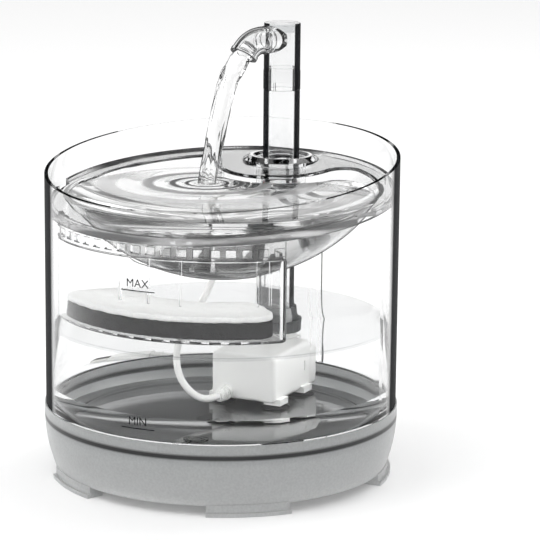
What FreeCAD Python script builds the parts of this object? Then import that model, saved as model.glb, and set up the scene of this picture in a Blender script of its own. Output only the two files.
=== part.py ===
"""Pet water fountain: a clear round tank on a frosted base, with a drinking bowl,
a crescent filter box under it, a small pump on the tank floor and a swivelling spout.

Millimetres. Z is up and z = 0 is the plane of the feet. The tank's axis is the Z axis.
The drinking side, which carries the level marks, faces -Y; the spout's column stands at +Y.
The rim and the drinking tray slope: they are higher at the back than at the front.
"""
import FreeCAD, Part
import math
import os

V = FreeCAD.Vector

# Driving dimensions of the tank and its base
TANK_R = 85.0
TANK_WALL = 3.5
TANK_NEST_R = 82.6
TANK_BOTTOM_Z = 22.5
TANK_FLOOR = 2.8
RIM_Z, RIM_SLOPE = 151.4, 0.116
BASE_TOP_Z = 34.8
BASE_TOP_R, BASE_FOOT_R = 85.6, 81.0
BASE_EDGE_Z = 5.0
BASE_WALL = 2.4
FOOT_ANGLES = [36, 108, 180, 252, 324]
FOOT_WIDTH_DEG = 28
SCREW_CIRCLE_R = 68.5
DECK_PLATE_R, DECK_Z0 = 82.0, 20.0

# Driving dimensions of the drinking tray
DECK_Z, DECK_SLOPE = 136.5, 0.1
DECK_THICK = 2.0
TRAY_R = 82.8
TRAY_EDGE_HEIGHT = 1.6
POOL_R = 75.0
POOL_WALL = 2.0
POOL_LIP_Z = 137.0
BOWL_R = 92.0
BOWL_BOTTOM_Z = 96.0
BOWL_THICK = 2.0
GAP = 0.4

# Column of the spout, which the pump, riser and faucet share
COLUMN_Y = 65.2
ISLAND_R = 32.0
STEM_R, STEM_BORE = 9.1, 6.6
STEM_BOTTOM_Z, COLLAR_Z, HEAD_TOP_Z = 129.0, 178.5, 211.8
COLLAR_TOP_Z = 188.0
CAP_THICK = 1.0
RISER_R, RISER_BORE = 7.6, 5.6
SPOUT_R, SPOUT_BORE = 6.7, 4.9
SPOUT_Z = 203.9
SPOUT_TURN = -22.0
ELBOW_R, ELBOW_DEG, ELBOW_START = 13.6, 55.0, 14.2

# Filter box, a crescent under the front of the tray
BOX_R, BOX_INNER_R = 79.5, 44.0
BOX_WALL = 1.4
BOX_HALF_DEG = 49.0
BOX_BOTTOM_Z, BOX_TOP_Z = 80.5, 118.8
CARBON_TOP_Z, COTTON_TOP_Z = 90.0, 93.6
COMB_R, COMB_WALL = 79.4, 1.8
COMB_BOTTOM_Z = 119.4
TOOTH_PITCH_DEG, TOOTH_COUNT = 5.4, 18

# Pump, on four suction cups
PUMP_HALF_WIDTH = 17.5
PUMP_FRONT_Y, PUMP_BACK_Y = 24.0, 71.5
PUMP_SPLIT_Y = 56.0
PUMP_Z0, PUMP_Z1 = 28.0, 51.0
PUMP_AXIS_Z = 39.0
OUTLET_TOP_Z = 66.0

# Supply cord
CORD_D = 3.4
GLAND_Z = 31.5
GROMMET_DEG, GROMMET_Z = -165.0, 112.0
COIL_OUTER_R, COIL_STEP, COIL_HALF_TURNS = 28.0, 1.975, 9
COIL_RISE = 3.95


def polar(radius, degrees, z=0.0):
    """A point at an angle from the front (-Y), turning towards +X."""
    a = math.radians(degrees)
    return V(radius * math.sin(a), -radius * math.cos(a), z)


def rod(radius, z0, z1, x=0.0, y=0.0):
    return Part.makeCylinder(radius, z1 - z0, V(x, y, z0))


def tube(outer, inner, z0, z1, x=0.0, y=0.0):
    return rod(outer, z0, z1, x, y).cut(rod(inner, z0 - 1, z1 + 1, x, y))


def box(x0, x1, y0, y1, z0, z1):
    return Part.makeBox(x1 - x0, y1 - y0, z1 - z0, V(x0, y0, z0))


def block_below(z_centre, slope, reach=100.0):
    """Everything under a plane that rises towards +Y."""
    low, high = z_centre - slope * reach, z_centre + slope * reach
    corners = [V(-reach, -reach, -20), V(-reach, reach, -20), V(-reach, reach, high), V(-reach, -reach, low)]
    outline = Part.makePolygon(corners + corners[:1])
    return Part.Face(outline).extrude(V(2 * reach, 0, 0))


def line(a, b):
    return Part.LineSegment(a, b).toShape()


def arc(a, mid, b):
    return Part.Arc(a, mid, b).toShape()


def sector(r_in, r_out, deg0, deg1, z0, z1):
    """Part of a ring wall or ring plate between two angles."""
    mid = (deg0 + deg1) / 2
    edges = [arc(polar(r_out, deg0, z0), polar(r_out, mid, z0), polar(r_out, deg1, z0)),
             line(polar(r_out, deg1, z0), polar(r_in, deg1, z0)),
             arc(polar(r_in, deg1, z0), polar(r_in, mid, z0), polar(r_in, deg0, z0)),
             line(polar(r_in, deg0, z0), polar(r_out, deg0, z0))]
    return Part.Face(Part.Wire(edges)).extrude(V(0, 0, z1 - z0))


def revolve(edges):
    """Turn a closed outline in the XZ plane once round the Z axis."""
    return Part.Face(Part.Wire(edges)).revolve(V(0, 0, 0), V(0, 0, 1), 360)


def outline(points):
    """Straight outline in the XZ plane from (radius, z) pairs."""
    corners = [V(r, 0, z) for r, z in points]
    return [line(a, b) for a, b in zip(corners, corners[1:] + corners[:1])]


def turned(shape, degrees, x=0.0, y=0.0):
    """Turn a copy about a vertical line, so that a -Y direction swings towards +X."""
    copy = shape.copy()
    copy.rotate(V(x, y, 0), V(0, 0, 1), degrees)
    return copy


def save(name, shape):
    shape.exportStep("parts/" + name + ".step")
    print(name, "valid" if shape.isValid() else "NOT VALID", len(shape.Solids), round(shape.Volume))


def base_shell():
    """Frosted lower body: curved skirt with a ledge inside for the deck, and five feet."""
    skirt_mid = V(84.4, 0, 17.0)
    inner_mid = V(skirt_mid.x - BASE_WALL - 0.2, 0, 15.0)
    wall_in = TANK_NEST_R + 0.3
    ledge_z, ledge_r = DECK_Z0 - 0.02, DECK_PLATE_R - 1.8
    outer = arc(V(BASE_FOOT_R, 0, BASE_EDGE_Z), skirt_mid, V(BASE_TOP_R, 0, BASE_TOP_Z))
    below = V(BASE_FOOT_R - BASE_WALL, 0, BASE_EDGE_Z)
    stairs = [V(BASE_TOP_R, 0, BASE_TOP_Z), V(wall_in, 0, BASE_TOP_Z), V(wall_in, 0, TANK_BOTTOM_Z),
              V(DECK_PLATE_R + 0.05, 0, TANK_BOTTOM_Z), V(DECK_PLATE_R + 0.05, 0, ledge_z),
              V(ledge_r, 0, ledge_z), V(ledge_r, 0, ledge_z - 1.6)]
    profile = [outer] + [line(a, b) for a, b in zip(stairs, stairs[1:])]
    profile += [arc(stairs[-1], inner_mid, below), line(below, V(BASE_FOOT_R, 0, BASE_EDGE_Z))]
    shell = revolve(profile)
    for angle in FOOT_ANGLES:
        half = FOOT_WIDTH_DEG / 2
        foot = sector(74.0, 81.6, angle - half, angle + half, 0.0, 5.6)
        lip = sector(79.0, 83.0, angle - half, angle + half, 0.0, 1.8)
        recess = sector(76.0, 79.4, angle - half + 3, angle + half - 3, -1.0, 3.6)
        shell = shell.fuse([foot, lip]).cut(recess)
    plate_room = tube(78.7, 70.0, 5.6, 8.8)
    return shell.cut(plate_room).removeSplitter()


def base_deck():
    """Round deck that the tank stands on, with the five screw bosses under it."""
    deck = tube(DECK_PLATE_R, 12.0, DECK_Z0, TANK_BOTTOM_Z - 0.02)
    for angle in FOOT_ANGLES:
        at = polar(SCREW_CIRCLE_R, angle)
        boss = rod(4.0, 9.0, DECK_Z0 + 0.5, at.x, at.y)
        pilot = rod(1.3, 8.0, 17.0, at.x, at.y)
        deck = deck.fuse(boss).cut(pilot)
    return deck.removeSplitter()


def base_plate():
    """Flat cover that closes the base from below, ribbed inside, with screw holes."""
    plate = rod(78.4, 6.2, 8.2)
    for k in range(10):
        rib = box(-0.9, 0.9, 14, 63, 8.0, 12.5)
        plate = plate.fuse(turned(rib, 36 * k))
    hub = tube(14.9, 13.1, 8.0, 12.5)
    plate = plate.fuse(hub)
    for angle in FOOT_ANGLES:
        at = polar(SCREW_CIRCLE_R, angle)
        plate = plate.cut(rod(1.7, 5.0, 9.5, at.x, at.y))
    return plate.removeSplitter()


def base_screws():
    """One pan-head screw behind each foot, up through the plate into the base's boss."""
    screws = []
    for angle in FOOT_ANGLES:
        at = polar(SCREW_CIRCLE_R, angle)
        head = rod(2.7, 4.6, 6.15, at.x, at.y)
        shank = rod(1.25, 6.0, 15.0, at.x, at.y)
        slot = box(at.x - 1.8, at.x + 1.8, at.y - 0.4, at.y + 0.4, 4.0, 5.3)
        screws.append(head.fuse(shank).cut(slot))
    return Part.makeCompound(screws)


def tank():
    """Clear tank: nested foot, straight wall, sloping rim and a sloping shelf for the tray."""
    floor_z = TANK_BOTTOM_Z + TANK_FLOOR
    inner_r = TANK_R - TANK_WALL
    high = RIM_Z + 15
    step_z = BASE_TOP_Z + 0.03
    outer = [line(V(0, 0, TANK_BOTTOM_Z), V(72, 0, TANK_BOTTOM_Z)),
             arc(V(72, 0, TANK_BOTTOM_Z), V(79.6, 0, 25.6), V(TANK_NEST_R, 0, 33.0)),
             line(V(TANK_NEST_R, 0, 33.0), V(TANK_NEST_R, 0, step_z)),
             line(V(TANK_NEST_R, 0, step_z), V(TANK_R, 0, step_z)),
             line(V(TANK_R, 0, step_z), V(TANK_R, 0, high)),
             line(V(TANK_R, 0, high), V(0, 0, high)),
             line(V(0, 0, high), V(0, 0, TANK_BOTTOM_Z))]
    inner = [line(V(0, 0, floor_z), V(71, 0, floor_z)),
             arc(V(71, 0, floor_z), V(78.3, 0, 29.5), V(inner_r, 0, 46.0)),
             line(V(inner_r, 0, 46.0), V(inner_r, 0, high + 1)),
             line(V(inner_r, 0, high + 1), V(0, 0, high + 1)),
             line(V(0, 0, high + 1), V(0, 0, floor_z))]
    body = revolve(outer).cut(revolve(inner))
    shelf_plane = block_below(DECK_Z - DECK_THICK - 0.1, DECK_SLOPE)
    seat = rod(TRAY_R + GAP, 100, high + 1).cut(shelf_plane)
    body = body.cut(seat).common(block_below(RIM_Z, RIM_SLOPE))
    hole_at = polar(TANK_R - 8, GROMMET_DEG, GROMMET_Z)
    out = polar(1, GROMMET_DEG)
    body = body.cut(Part.makeCylinder(3.6, 12, hole_at, out))
    rail_z = step_z + 1.5
    rail = box(11.2, 12.6, 76.5, 81.2, rail_z, 120.0).fuse(box(16.4, 17.8, 75.5, 80.6, rail_z, 120.0))
    web = box(11.2, 17.8, 79.4, 81.2, rail_z, 120.0)
    locator = tube(6.0, 4.6, floor_z - 0.3, floor_z + 1.4, 12.0, -50.0)
    rib_a = box(11.3, 12.7, -74.0, -55.2, floor_z - 0.3, floor_z + 1.4)
    return body.fuse([rail.fuse(web), locator, rib_a]).removeSplitter()


def pool_prism(offset, z0, z1):
    """Plan shape of the drinking pool: a disc with an island cut out round the column."""
    island = rod(ISLAND_R - offset, z0 - 1, z1 + 1, 0, COLUMN_Y)
    disc = rod(POOL_R + offset, z0, z1).cut(island)
    half_gap = (POOL_R + offset) ** 2 - (ISLAND_R - offset) ** 2 + COLUMN_Y ** 2
    corner_y = half_gap / (2 * COLUMN_Y)
    corners = [e for e in disc.Edges if e.Length > z1 - z0 - 0.1
               and abs(e.BoundBox.YMax - corner_y) < 0.5 and e.BoundBox.YLength < 0.1]
    return disc.makeFillet(9.0 + offset, corners)


def drinking_tray():
    """Sloping deck with a raised edge, a round bowl with its own lip, gutter and socket."""
    sphere_at = V(0, 0, BOWL_BOTTOM_Z + BOWL_R)
    deck_top = block_below(DECK_Z, DECK_SLOPE)
    deck_bottom = block_below(DECK_Z - DECK_THICK, DECK_SLOPE)
    edge_top = block_below(DECK_Z + TRAY_EDGE_HEIGHT, DECK_SLOPE)
    plate = rod(TRAY_R, 110, 150).common(deck_top).cut(deck_bottom)
    edge = tube(TRAY_R, TRAY_R - 2.0, 110, 155).common(edge_top).cut(deck_bottom)
    bowl = pool_prism(POOL_WALL, 90, 160).common(Part.makeSphere(BOWL_R, sphere_at))
    lip_top = block_below(DECK_Z + 0.01, DECK_SLOPE).fuse(box(-99, 99, -99, 99, -10, POOL_LIP_Z))
    bowl = bowl.common(lip_top)
    cavity = pool_prism(0.0, 89, 162).common(Part.makeSphere(BOWL_R - BOWL_THICK, sphere_at))
    socket = tube(12.4, 9.0, 117.0, 144.0, 0, COLUMN_Y)
    flare = revolve(outline([(9.4, 141.5), (19.4, 141.5), (19.2, 143.6), (15.6, 145.6), (14.0, 145.6),
                             (12.6, 144.2), (9.4, 144.2)]))
    flare.translate(V(0, COLUMN_Y, 0))
    flare = flare.common(rod(TRAY_R, 130, 150)).cut(deck_bottom)
    tray = plate.fuse([edge, bowl, socket, flare]).cut(cavity)
    tray = tray.cut([rod(9.0, 116, 128.6, 0, COLUMN_Y), rod(9.4, 128.6, 150, 0, COLUMN_Y)])
    first = -TOOTH_PITCH_DEG * (TOOTH_COUNT - 1) / 2
    slots = []
    for k in range(TOOTH_COUNT):
        at = first + k * TOOTH_PITCH_DEG
        slots.append(sector(77.6, 80.0, at - 1.6, at + 1.6, 120, 133))
    notches = []
    for side in (-1, 1):
        at = polar(TRAY_R, side * 80.0, DECK_Z)
        notches.append(rod(8.5, 120, 160, at.x * 1.045, at.y * 1.045))
    return tray.cut(slots).cut(notches).removeSplitter()


def drain_comb():
    """Toothed curtain under the gutter, which keeps hair out of the filter box."""
    half = BOX_HALF_DEG - 1.0
    curtain = sector(COMB_R - COMB_WALL, COMB_R, -half, half, COMB_BOTTOM_Z, 134.0)
    curtain = curtain.common(block_below(DECK_Z - DECK_THICK - 0.05, DECK_SLOPE))
    first = -TOOTH_PITCH_DEG * (TOOTH_COUNT - 1) / 2
    gaps = []
    for k in range(TOOTH_COUNT):
        at = first + k * TOOTH_PITCH_DEG
        gaps.append(sector(70.0, 90.0, at - 1.7, at + 1.7, COMB_BOTTOM_Z + 1.4, COMB_BOTTOM_Z + 5.2))
    return curtain.cut(gaps)


def filter_box():
    """Crescent trough: curved front and back walls, slotted floor, ends that hook on the tray."""
    half = BOX_HALF_DEG
    trough = sector(BOX_INNER_R, BOX_R, -half, half, BOX_BOTTOM_Z, BOX_TOP_Z)
    trough = trough.makeFillet(3.0, [e for e in trough.Edges if e.BoundBox.ZLength > 30])
    rim_edges = [e for e in trough.Edges if e.BoundBox.ZMax < BOX_BOTTOM_Z + 0.1]
    trough = trough.makeFillet(1.6, rim_edges)
    wall_deg = math.degrees(BOX_WALL / 60.0)
    room = sector(BOX_INNER_R + BOX_WALL, BOX_R - BOX_WALL, -half + wall_deg, half - wall_deg,
                  BOX_BOTTOM_Z + BOX_WALL, BOX_TOP_Z + 1)
    room = room.makeFillet(2.0, [e for e in room.Edges if e.BoundBox.ZLength > 30])
    trough = trough.cut(room)
    slots = []
    for k in range(13):
        at = -42.0 + 7.0 * k
        slots.append(sector(50.0, 73.0, at - 1.5, at + 1.5, BOX_BOTTOM_Z - 1, BOX_BOTTOM_Z + 3))
    trough = trough.cut(slots)
    ribs = []
    for at in (-9.3, 1.7, 13.0, 38.7, 43.0):
        ribs.append(sector(BOX_R - BOX_WALL - 1.2, BOX_R - BOX_WALL + 0.4, at - 0.35, at + 0.35,
                           98.0, BOX_TOP_Z))
    hooks = []
    for side in (-1, 1):
        low, high = sorted((side * (half - wall_deg + 0.1), side * half))
        hooks.append(sector(66.0, 72.0, low, high, 112.0, 121.0))
    clearance = Part.makeSphere(BOWL_R + 0.8, V(0, 0, BOWL_BOTTOM_Z + BOWL_R))
    return trough.fuse(ribs + hooks).cut(clearance).removeSplitter()


def filter_pad(z0, z1, inset):
    """Crescent pad with rounded ends, cut to the inside of the filter box."""
    half = BOX_HALF_DEG - 2.6
    pad = sector(BOX_INNER_R + BOX_WALL + inset, BOX_R - BOX_WALL - inset, -half, half, z0, z1)
    return pad.makeFillet(9.0, [e for e in pad.Edges if e.BoundBox.ZLength > z1 - z0 - 0.1])


def riser_tube():
    """Clear pipe from the pump's outlet up into the tray's socket, with a stepped foot."""
    pipe = tube(RISER_R, RISER_BORE, 54.0, 126.0, 0, COLUMN_Y)
    foot = tube(RISER_R + 1.2, RISER_BORE + 0.5, 54.0, 66.5, 0, COLUMN_Y)
    return pipe.fuse(foot).cut(rod(RISER_BORE + 0.5, 53, 66.6, 0, COLUMN_Y)).removeSplitter()


def riser_collar():
    """Knurled ring that grips the riser's foot on the pump's outlet."""
    ring = tube(10.6, RISER_R + 1.25, 54.0, 59.0, 0, COLUMN_Y)
    for k in range(18):
        notch = rod(0.9, 53, 60, 0, COLUMN_Y + 10.9)
        ring = ring.cut(turned(notch, 20 * k, 0, COLUMN_Y))
    return ring


def faucet_stem():
    """Clear column that plugs into the tray and carries the swivelling head."""
    stem = rod(STEM_R, STEM_BOTTOM_Z + 6, COLLAR_Z, 0, COLUMN_Y)
    plug = rod(8.0, STEM_BOTTOM_Z, STEM_BOTTOM_Z + 6, 0, COLUMN_Y)
    spigot = rod(7.7, COLLAR_Z - 1, COLLAR_TOP_Z + 1.5, 0, COLUMN_Y)
    stop = sector(7.0, 8.4, -3, 3, COLLAR_Z - 0.5, COLLAR_Z + 4.0)
    stop.translate(V(0, COLUMN_Y, 0))
    body = stem.fuse([plug, spigot, stop])
    return body.cut(rod(STEM_BORE, STEM_BOTTOM_Z - 1, COLLAR_TOP_Z + 3, 0, COLUMN_Y)).removeSplitter()


def faucet_head():
    """Short sleeve above the joint: bore for the spigot, side port for the spout."""
    sleeve = rod(STEM_R + 0.15, COLLAR_Z + 0.3, COLLAR_TOP_Z, 0, COLUMN_Y)
    upper = rod(STEM_R, COLLAR_TOP_Z - 0.5, HEAD_TOP_Z - CAP_THICK - 0.05, 0, COLUMN_Y)
    body = sleeve.fuse(upper)
    body = body.cut(rod(8.0, COLLAR_Z, COLLAR_TOP_Z + 2.0, 0, COLUMN_Y))
    body = body.cut(rod(STEM_BORE + 0.2, COLLAR_TOP_Z, HEAD_TOP_Z + 1, 0, COLUMN_Y))
    stop_track = sector(7.5, 8.7, -52, 52, COLLAR_Z, COLLAR_Z + 4.4)
    stop_track.translate(V(0, COLUMN_Y, 0))
    port = Part.makeCylinder(SPOUT_R + 0.02, 14, V(0, COLUMN_Y - 3, SPOUT_Z), V(0, -1, 0))
    return turned(body.cut([stop_track, port]), SPOUT_TURN, 0, COLUMN_Y).removeSplitter()


def spout():
    """Ringed barrel and elbow, pressed into the head's side port."""
    start = V(0, COLUMN_Y, SPOUT_Z)
    turn = math.radians(ELBOW_DEG)
    mouth_dir = V(0, -math.cos(turn), -math.sin(turn))

    def on_arc(angle):
        return V(0, COLUMN_Y - ELBOW_START - ELBOW_R * math.sin(angle),
                 SPOUT_Z - ELBOW_R * (1 - math.cos(angle)))

    def pipe(radius, first, past):
        """Straight barrel, elbow and a short straight mouth in one sweep."""
        inner_end, mouth = start + V(0, -first, 0), on_arc(turn) + mouth_dir * past
        path = Part.Wire([line(inner_end, on_arc(0)), arc(on_arc(0), on_arc(turn / 2), on_arc(turn)),
                          line(on_arc(turn), mouth)])
        circle = Part.Wire([Part.makeCircle(radius, inner_end, V(0, -1, 0))])
        return path.makePipeShell([circle], True, False)

    def ring(radius, first, last):
        return Part.makeCylinder(radius, last - first, start + V(0, -first, 0), V(0, -1, 0))

    body = pipe(SPOUT_R, 4.6, 0.8)
    lip = Part.makeCylinder(SPOUT_R + 0.35, 1.6, on_arc(turn) - mouth_dir * 0.8, mouth_dir)
    body = body.fuse([lip, ring(SPOUT_R + 0.25, 10.6, 12.4), ring(SPOUT_R + 0.25, 13.2, ELBOW_START - 0.2)])
    for first, last in ((9.6, 10.6), (12.4, 13.2)):
        body = body.cut(ring(SPOUT_R + 2, first, last).cut(ring(SPOUT_R - 0.7, first - 1, last + 1)))
    inside = rod(STEM_BORE + 0.25, SPOUT_Z - 12, SPOUT_Z + 12, 0, COLUMN_Y)
    body = body.cut([pipe(SPOUT_BORE, 2.0, 3.0), inside])
    return turned(body, SPOUT_TURN, 0, COLUMN_Y).removeSplitter()


def faucet_cap():
    """Round cap pressed into the top of the head."""
    plate = rod(STEM_R, HEAD_TOP_Z - CAP_THICK, HEAD_TOP_Z, 0, COLUMN_Y)
    plug = rod(STEM_BORE + 0.1, HEAD_TOP_Z - 4.5, HEAD_TOP_Z - CAP_THICK / 2, 0, COLUMN_Y)
    dimple = rod(STEM_R - 1.8, HEAD_TOP_Z - 0.4, HEAD_TOP_Z + 1, 0, COLUMN_Y)
    return plate.fuse(plug).cut(dimple)


def ring_seal(middle_r, thick_r, z):
    """Sealing ring with an eight-sided section."""
    turns = [math.radians(45 * k) for k in range(8)]
    corners = [(middle_r + thick_r * math.cos(t), z + thick_r * math.sin(t)) for t in turns]
    seal = revolve(outline(corners))
    seal.translate(V(0, COLUMN_Y, 0))
    return seal


def pump_housing():
    """Moulded motor block with rotor well, pump chamber and feet for the cups."""
    block = box(-PUMP_HALF_WIDTH, PUMP_HALF_WIDTH, PUMP_FRONT_Y, PUMP_SPLIT_Y + 8.5, PUMP_Z0, PUMP_Z1)
    soft = [e for e in block.Edges if e.BoundBox.YLength > 20]
    block = block.makeFillet(3.0, soft)
    front = [e for e in block.Edges if e.BoundBox.YMax < PUMP_FRONT_Y + 0.1]
    block = block.makeFillet(1.8, front)
    well = Part.makeCylinder(6.2, 25.0, V(0, PUMP_SPLIT_Y - 22, PUMP_AXIS_Z), V(0, 1, 0))
    chamber = Part.makeCylinder(10.2, 12.0, V(0, PUMP_SPLIT_Y, PUMP_AXIS_Z), V(0, 1, 0))
    stator_room = box(-15.6, 15.6, PUMP_FRONT_Y + 3, PUMP_SPLIT_Y - 3, PUMP_Z0 + 2, PUMP_Z1 - 2)
    well_wall = Part.makeCylinder(7.4, 24.0, V(0, PUMP_SPLIT_Y - 23.4, PUMP_AXIS_Z), V(0, 1, 0))
    block = block.cut(stator_room).fuse(well_wall).cut([well, chamber])
    over_chamber = PUMP_AXIS_Z + 10.4
    spigot = rod(5.9, over_chamber, OUTLET_TOP_Z, 0, COLUMN_Y)
    neck = rod(8.6, over_chamber, 53.8, 0, COLUMN_Y)
    bridge = box(-9, 9, PUMP_SPLIT_Y + 6, 71.0, over_chamber, PUMP_Z1)
    way_out = rod(4.3, PUMP_AXIS_Z + 4, OUTLET_TOP_Z + 1, 0, COLUMN_Y)
    block = block.fuse([spigot, neck, bridge]).cut(way_out)
    tabs = [box(s * 15.0 - 4.5, s * 15.0 + 4.5, y - 4.5, y + 4.5, PUMP_Z0 - 1.0, PUMP_Z0 + 2.0)
            for s in (-1, 1) for y in (30.0, 58.0)]
    block = block.fuse(tabs)
    for s in (-1, 1):
        block = block.cut(box(s * 17.0 - 0.8, s * 17.0 + 0.8, 57.5, 58.8, 37.0, 42.0))
    return block.removeSplitter()


def pump_cover():
    """Intake cover with slots, clipped over the pump chamber's end."""
    y0 = PUMP_SPLIT_Y + 8.8
    shell = box(-PUMP_HALF_WIDTH, PUMP_HALF_WIDTH, y0, PUMP_BACK_Y, PUMP_Z0, PUMP_Z1 - 4.0)
    shell = shell.makeFillet(2.0, [e for e in shell.Edges if e.BoundBox.YLength > 5])
    room = box(-15.5, 15.5, y0 - 1, PUMP_BACK_Y - 1.8, PUMP_Z0 + 2, PUMP_Z1 - 6.0)
    shell = shell.cut(room)
    slots = [box(-13 + 4 * k, -11.2 + 4 * k, PUMP_BACK_Y - 3, PUMP_BACK_Y + 1, PUMP_Z0 + 4, PUMP_Z1 - 8)
             for k in range(7)]
    return shell.cut(slots)


def pump_foam():
    """Sponge pad behind the intake slots."""
    return box(-15.0, 15.0, PUMP_SPLIT_Y + 11.0, PUMP_BACK_Y - 2.1, PUMP_Z0 + 2.5, PUMP_Z1 - 6.5)


def pump_stator():
    """Laminated core, with its two legs either side of the rotor's well."""
    core = box(-15.0, 15.0, PUMP_FRONT_Y + 8, PUMP_SPLIT_Y - 4, PUMP_AXIS_Z - 6, PUMP_AXIS_Z + 6)
    gap = Part.makeCylinder(7.6, 40, V(0, PUMP_FRONT_Y + 7, PUMP_AXIS_Z), V(0, 1, 0))
    return core.cut(gap)


def pump_magnet():
    return Part.makeCylinder(5.2, 19.0, V(0, PUMP_SPLIT_Y - 20.5, PUMP_AXIS_Z), V(0, 1, 0)).cut(
        Part.makeCylinder(1.3, 22.0, V(0, PUMP_SPLIT_Y - 21.5, PUMP_AXIS_Z), V(0, 1, 0)))


def pump_impeller():
    """Six curved blades on a back plate and hub."""
    y0 = PUMP_SPLIT_Y
    plate = Part.makeCylinder(8.6, 1.2, V(0, y0 + 0.4, PUMP_AXIS_Z), V(0, 1, 0))
    hub = Part.makeCylinder(2.6, 6.2, V(0, y0 + 0.4, PUMP_AXIS_Z), V(0, 1, 0))
    neck = Part.makeCylinder(4.0, 2.0, V(0, y0 - 1.48, PUMP_AXIS_Z), V(0, 1, 0))
    blade = tube(5.0, 4.2, 0, 5.0, 5.6, 0).common(box(0, 9, 0, 6, 0, 5.0))
    blades = []
    for k in range(6):
        piece = turned(blade, 60 * k)
        piece.rotate(V(0, 0, 0), V(1, 0, 0), -90)
        piece.translate(V(0, y0 + 1.4, PUMP_AXIS_Z))
        blades.append(piece)
    solid = plate.fuse([hub, neck] + blades).common(
        Part.makeCylinder(8.6, 20, V(0, y0 - 5, PUMP_AXIS_Z), V(0, 1, 0)))
    return solid.cut(Part.makeCylinder(1.3, 30, V(0, y0 - 10, PUMP_AXIS_Z), V(0, 1, 0)))


def pump_shaft():
    return Part.makeCylinder(1.2, 30.6, V(0, PUMP_SPLIT_Y - 22, PUMP_AXIS_Z), V(0, 1, 0))


def pump_bushes():
    rear = Part.makeCylinder(3.0, 1.2, V(0, PUMP_SPLIT_Y - 22, PUMP_AXIS_Z), V(0, 1, 0))
    front = Part.makeCylinder(3.0, 1.6, V(0, PUMP_SPLIT_Y + 6.9, PUMP_AXIS_Z), V(0, 1, 0))
    arm_y = PUMP_SPLIT_Y + 7.1
    spider = [box(x0, x0 + 7.5, arm_y, arm_y + 1.2, PUMP_AXIS_Z - 0.8, PUMP_AXIS_Z + 0.8)
              for x0 in (2.6, -10.1)]
    hole = Part.makeCylinder(1.25, 40, V(0, PUMP_SPLIT_Y - 30, PUMP_AXIS_Z), V(0, 1, 0))
    return Part.makeCompound([rear.cut(hole), front.fuse(spider).cut(hole)])


def suction_cups():
    """Four soft cups under the pump, each a thin bell with a stub above."""
    cups = []
    floor_z = TANK_BOTTOM_Z + TANK_FLOOR
    for x in (-15.0, 15.0):
        for y in (30.0, 58.0):
            bell = Part.makeCone(7.2, 3.0, 1.66, V(x, y, floor_z + 0.02))
            hollow = Part.makeCone(5.8, 1.0, 1.1, V(x, y, floor_z - 0.1))
            cups.append(bell.cut(hollow))
    return Part.makeCompound(cups)


def bend_radius(before, at, after):
    """Radius of the arc at a corner of the route: 0.45 of the shorter run over tan(half turn)."""
    first, second = at - before, after - at
    turn = first.getAngle(second)
    return 0.45 * min(first.Length, second.Length) / math.tan(turn / 2), turn


def rounded_route(name, points):
    """Straight runs joined by tangent arcs."""
    edges = []
    start = points[0]
    radii = []
    for before, at, after in zip(points, points[1:], points[2:]):
        radius, turn = bend_radius(before, at, after)
        reach = radius * math.tan(turn / 2)
        back, ahead = (before - at).normalize(), (after - at).normalize()
        first, last = at + back * reach, at + ahead * reach
        inward = (back + ahead).normalize()
        middle = at + inward * (radius / math.cos(turn / 2) - radius)
        edges += [line(start, first), arc(first, middle, last)]
        start = last
        radii.append(round(radius, 1))
    edges.append(line(start, points[-1]))
    print(name, "bend radii", radii)
    return Part.Wire(edges)


def cord_tube(name, wire, diameter):
    first = wire.Edges[0]
    at = first.valueAt(first.FirstParameter)
    direction = first.tangentAt(first.FirstParameter)
    section = Part.Wire([Part.makeCircle(diameter / 2, at, direction)])
    solid = wire.makePipeShell([section], True, False)
    expected = math.pi * diameter ** 2 / 4 * wire.Length
    print(name, "length", round(wire.Length, 1), "volume ratio", round(solid.Volume / expected, 4))
    return solid


def inside_route():
    """From the pump's gland, up past its corner and behind the filter box to the back wall."""
    wall_end = polar(TANK_R - TANK_WALL - 2.0, GROMMET_DEG, GROMMET_Z)
    into = polar(1, GROMMET_DEG)
    return [V(-9, 14.0, GLAND_Z), V(-9, 4.5, GLAND_Z), V(-13.5, -4.0, 35.5), V(-20, -6.5, 44.5),
            V(-24.5, -1.0, 55.0), V(-25.5, 10.0, 63.5), V(-26.0, 23.0, 70.0), V(-25.5, 36.0, 80.0),
            V(-23.0, 48.0, 97.0), V(-20.5, 56.5, 107.0), wall_end - into * 11.5, wall_end]


def outside_route():
    """From the grommet straight out, down the back of the tank and out along the floor."""
    start = polar(TANK_R + 2.2, GROMMET_DEG, GROMMET_Z)
    out = polar(1, GROMMET_DEG)
    side = polar(1, GROMMET_DEG + 90)
    floor = V(0, 0, CORD_D / 2 + 0.1 - GROMMET_Z)
    steps = [(0, 0), (11.5, 0), (19.5, -5.5), (24.0, -14.5), (24.5, -30), (23.0, -52), (20.5, -72)]
    route = [start + out * across + V(0, 0, down) for across, down in steps]
    route[5] += side * 0.8
    route[6] -= side * 0.6
    return route + [start + out * 20.0 + V(0, 0, -90), start + out * 24.0 + V(0, 0, -101.5),
                    start + out * 32.5 + floor, start + out * 43.5 + floor]


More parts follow.
